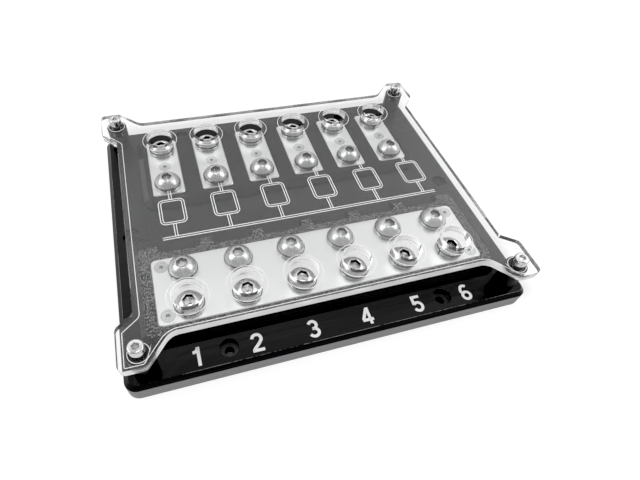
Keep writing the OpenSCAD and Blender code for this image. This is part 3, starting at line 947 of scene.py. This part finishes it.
class FUSEBLOCK_OT_engraving(bpy.types.Operator):
    """Engrave a border line and a plain wiring diagram in the underside of the cover"""

    bl_idname = "fuseblock.engraving"
    bl_label = "Engrave cover"

    depth: FloatProperty(
        name="Depth", description="Depth of the engraved lines", default=0.25 * MM, unit="LENGTH")

    def deepen(self):
        """Gives the flat line in edit mode its depth."""
        bpy.ops.mesh.extrude_region_move(TRANSFORM_OT_translate={"value": (0, 0, self.depth)})
        close_mesh()

    def strip(self, context, low, high, corner, groove):
        """Cuts the outline of a box with rounded corners, or a plain bar where corner is nothing."""
        deselect()
        bpy.ops.mesh.primitive_plane_add(size=1, location=(0, 0, 0), enter_editmode=True)
        obj = context.object
        bpy.ops.transform.resize(value=(high[0] - low[0], high[1] - low[1], 1))
        bpy.ops.transform.translate(
            value=((low[0] + high[0]) / 2, (low[1] + high[1]) / 2, COVER_LOW.z + GROOVE_RISE))
        if corner:
            bpy.ops.mesh.bevel(offset=corner, segments=6, affect="VERTICES")
            bpy.ops.mesh.inset(thickness=groove, depth=0)
            bpy.ops.mesh.delete(type="FACE")
            bpy.ops.mesh.select_all(action="SELECT")
        self.deepen()
        return obj

    def border(self, context, inset, groove):
        """Cuts a line beside the cover's contour and round each of its holes."""
        obj = bpy.data.objects.new("cover_border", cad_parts["cover"].data.copy())
        context.collection.objects.link(obj)
        activate(obj)
        bpy.ops.object.mode_set(mode="EDIT")
        bpy.ops.mesh.select_all(action="SELECT")
        bpy.ops.mesh.remove_doubles(threshold=MERGE_ROOM)
        select_faces(obj, lambda face: face.normal.z > -FLAT_FACING)
        bpy.ops.mesh.delete(type="FACE")
        bpy.ops.mesh.select_all(action="SELECT")
        bpy.ops.mesh.inset(thickness=inset, depth=0)
        bpy.ops.mesh.inset(thickness=groove, depth=0, use_select_inset=True)
        bpy.ops.mesh.select_all(action="INVERT")
        bpy.ops.mesh.delete(type="FACE")
        bpy.ops.mesh.select_all(action="SELECT")
        bpy.ops.transform.translate(value=(0, 0, GROOVE_RISE))
        self.deepen()
        return obj

    def diagram(self, context, groove, twin):
        """Cuts a bus line and, for each circuit, a rounded box with its two stems, in twin lines."""
        places = row_places("plate_fuse_bolts")
        front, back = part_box("bus_bar")[1].y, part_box(PLATES[0])[0].y
        bus_y, box_low, box_high, end_y = (front + (back - front) * row for row in DIAGRAM_ROWS)
        lines = []
        for x in (place.x for place in places):
            for inset in (0, twin):
                lines.append(self.strip(
                    context, (x - BOX_HALF_WIDTH + inset, box_low + inset),
                    (x + BOX_HALF_WIDTH - inset, box_high - inset), BOX_CORNER - inset, groove))
            for side in (x - twin / 2, x + twin / 2):
                for low, high in ((bus_y, box_low), (box_high, end_y)):
                    lines.append(self.strip(
                        context, (side - groove / 2, low), (side + groove / 2, high), 0, groove))
        for row in (bus_y, bus_y - twin):
            lines.append(self.strip(
                context, (places[0].x - BOX_HALF_WIDTH, row - groove),
                (places[-1].x + BOX_HALF_WIDTH, row), 0, groove))
        return lines

    def execute(self, context):
        markings = context.scene.fuseblock_markings
        border = self.border(context, markings.border, markings.border_line)
        diagram = self.diagram(context, markings.groove, markings.twin)
        piece = join_as("cover_engraving", [border, *diagram])
        finish_piece(piece, frosted_groove_painted_glow(), "clear_cover")
        return {"FINISHED"}


# The studio

# Camera: its place, its angles, its focal length, and how far its axis lies from the image's middle
CAMERA_PLACE = Vector((-65.634, -162.384, 201.585)) * MM
CAMERA_YAW, CAMERA_PITCH, CAMERA_ROLL = (math.radians(a) for a in (-21.175, 52.624, 6.102))
FOCAL_PIXELS = 438.234
CENTRE_OFFSET_PIXELS = (-31.623, 6.371)
IMAGE_WIDTH_PIXELS = 640
SENSOR_MM = 36.0
NEAR_CLIP = 10 * MM
# Level that the film shows as black
BLACK_LEVEL = 0.018

# Floor: its glow in the open and in the painted soft shadow, and how far the glow reaches in under the
# base
FLOOR_SIZE = 12.0
FLOOR_COLOUR, FLOOR_GLOW, SHADOW_GLOW = grey(0.25), grey(0.8), grey(0.57)
GLOW_REACH = 4 * MM
# Painted soft shadow of the base: its shift to the right and to the back, and the width of its edge
SHADOW_SHIFT = (7 * MM, 11 * MM)
SHADOW_EDGE = 8 * MM

# Brightness of the backdrop as a light, and as the camera sees it
SKY_LIGHT, SKY_SEEN = 0.45, 1.0

# Soft boxes, in metres; fades are the heights of a box's dark foot and of its brightest line, as
# shares of the box, and the share of light left at its top
LIGHT_AIM = Vector((0, 0, 0.02))
SOFT_BOXES = {
    "rear_soft_box": {
        "place": (0.12, 0.8, 0.84), "size": (2.8, 1.34), "radiance": 1.04, "fades": (0.15, 0.64, 0.25)},
    "left_soft_box": {"place": (-0.8, 0.1, 0.62), "size": (0.6, 0.5), "radiance": 2.5},
    "right_soft_box": {"place": (0.8, -0.15, 0.6), "size": (0.6, 0.5), "radiance": 2.3},
    "top_soft_box": {"place": (0, -0.16, 0.95), "size": (0.3, 0.24), "radiance": 6.0},
}


class FUSEBLOCK_OT_stage(bpy.types.Operator):
    """Set up the floor, the soft lights and the camera"""

    bl_idname = "fuseblock.stage"
    bl_label = "Set up studio"

    def floor(self, context):
        """Lays a pale floor that glows evenly, less in a painted soft shadow of the base and not under
        the base.
        """
        deselect()
        bpy.ops.mesh.primitive_plane_add(size=FLOOR_SIZE, location=(0, 0, CAD_BOX[0][2]))
        floor = context.object
        floor.name = "studio_floor"
        material, tree, shader, place = started(
            "Studio floor", Roughness=0.9, Base_Color=FLOOR_COLOUR, Emission_Strength=1.0)
        x, y, _ = parts(tree, place)
        clear = maths(tree, "MAXIMUM", *(
            maths(tree, "GREATER_THAN", maths(tree, "ABSOLUTE", across), half - GLOW_REACH)
            for across, half in zip((x, y), BASE_HIGH)))
        # Painted shadow: the glow drops in a soft-edged box shifted right and back from the base
        shadow = maths(tree, "MULTIPLY", *(
            spread(tree, maths(tree, "ABSOLUTE", maths(tree, "SUBTRACT", across, shift)), 1.0, 0.0,
                   half + shift - SHADOW_EDGE, half + shift)
            for across, shift, half in zip((x, y), SHADOW_SHIFT, BASE_HIGH)))
        lit = mixed(tree, shadow, FLOOR_GLOW, SHADOW_GLOW)
        feed(tree, mixed(tree, clear, grey(0.0), lit), shader.inputs["Emission Color"])
        floor.data.materials.append(material)

    def backdrop(self, context):
        """Sets a white backdrop, and the film's black level."""
        world = bpy.data.worlds.new("Studio")
        world.use_nodes = True
        tree = world.node_tree
        sky = tree.nodes["Background"].inputs
        feed(tree, grey(1.0), sky["Color"])
        seen = node(tree, "ShaderNodeLightPath").outputs["Is Camera Ray"]
        feed(tree, spread(tree, seen, SKY_LIGHT, SKY_SEEN), sky["Strength"])
        context.scene.world = world
        film = context.scene.view_settings
        film.view_transform = "Standard"
        film.use_curve_mapping = True
        film.curve_mapping.black_level = grey(BLACK_LEVEL)
        film.curve_mapping.update()

    def soft_box(self, name, place, size, radiance, fades=None):
        """Adds a soft box that shines at the object; it may fade to its foot and its top."""
        bpy.ops.object.light_add(type="AREA", location=place)
        lamp = bpy.context.object
        lamp.name = name
        lamp.data.shape = "RECTANGLE"
        lamp.data.size, lamp.data.size_y = size
        lamp.data.energy = radiance * math.pi * size[0] * size[1]
        lamp.rotation_euler = (LIGHT_AIM - Vector(place)).to_track_quat("-Z", "Y").to_euler()
        if fades:
            foot, peak, head = fades
            lamp.data.use_nodes = True
            tree = lamp.data.node_tree
            up = parts(tree, node(tree, "ShaderNodeNewGeometry").outputs["Parametric"])[1]
            strength = maths(tree, "MINIMUM", spread(tree, up, 0.0, 1.0, foot, peak),
                             spread(tree, up, 1.0, head, peak, 1.0))
            feed(tree, strength, tree.nodes["Emission"].inputs["Strength"])

    def camera(self, context):
        """Places the camera; its axes are turned by yaw, then pitch, then roll."""
        bpy.ops.object.camera_add()
        camera = context.object
        camera.name = "studio_camera"
        to_lens = Matrix(((1, 0, 0), (0, 0, -1), (0, 1, 0)))
        axes = (Matrix.Rotation(CAMERA_ROLL, 3, "Z") @ Matrix.Rotation(CAMERA_PITCH, 3, "X")
                @ to_lens @ Matrix.Rotation(CAMERA_YAW, 3, "Z").transposed())
        turned_axes = Matrix((axes[0], -axes[1], -axes[2])).transposed()
        camera.matrix_world = Matrix.Translation(CAMERA_PLACE) @ turned_axes.to_4x4()
        lens = camera.data
        lens.sensor_fit = "HORIZONTAL"
        lens.sensor_width = SENSOR_MM
        lens.lens = FOCAL_PIXELS * SENSOR_MM / IMAGE_WIDTH_PIXELS
        lens.shift_x = -CENTRE_OFFSET_PIXELS[0] / IMAGE_WIDTH_PIXELS
        lens.shift_y = CENTRE_OFFSET_PIXELS[1] / IMAGE_WIDTH_PIXELS
        lens.clip_start = NEAR_CLIP
        context.scene.camera = camera

    def execute(self, context):
        self.floor(context)
        self.backdrop(context)
        for name, settings in SOFT_BOXES.items():
            self.soft_box(name, **settings)
        self.camera(context)
        return {"FINISHED"}


STEPS = (
    FUSEBLOCK_OT_base, FUSEBLOCK_OT_bars, FUSEBLOCK_OT_standoffs, FUSEBLOCK_OT_cover,
    FUSEBLOCK_OT_bolts, FUSEBLOCK_OT_washers, FUSEBLOCK_OT_cover_screws, FUSEBLOCK_OT_numerals,
    FUSEBLOCK_OT_engraving, FUSEBLOCK_OT_stage,
)


class FUSEBLOCK_PT_panel(bpy.types.Panel):
    """Sizes, colours and steps that dress the fuse block"""

    bl_idname = "FUSEBLOCK_PT_panel"
    bl_label = "Fuse block"
    bl_space_type = "VIEW_3D"
    bl_region_type = "UI"
    bl_category = "Fuse block"

    def draw(self, context):
        scene = context.scene
        for values in (scene.fuseblock_fittings, scene.fuseblock_markings, scene.fuseblock_colours):
            for name in type(values).__annotations__:
                self.layout.prop(values, name)
        for step in STEPS:
            self.layout.operator(step.bl_idname)


CLASSES = (FittingSizes, MarkingSizes, FinishColours, *STEPS, FUSEBLOCK_PT_panel)


def register():
    for cls in CLASSES:
        bpy.utils.register_class(cls)
    bpy.types.Scene.fuseblock_fittings = PointerProperty(type=FittingSizes)
    bpy.types.Scene.fuseblock_markings = PointerProperty(type=MarkingSizes)
    bpy.types.Scene.fuseblock_colours = PointerProperty(type=FinishColours)


def unregister():
    del bpy.types.Scene.fuseblock_colours
    del bpy.types.Scene.fuseblock_markings
    del bpy.types.Scene.fuseblock_fittings
    for cls in reversed(CLASSES):
        bpy.utils.unregister_class(cls)


def main():
    register()
    for step in STEPS:
        group_name, operator = step.bl_idname.split(".")
        getattr(getattr(bpy.ops, group_name), operator)()


if __name__ == "__main__":
    main()
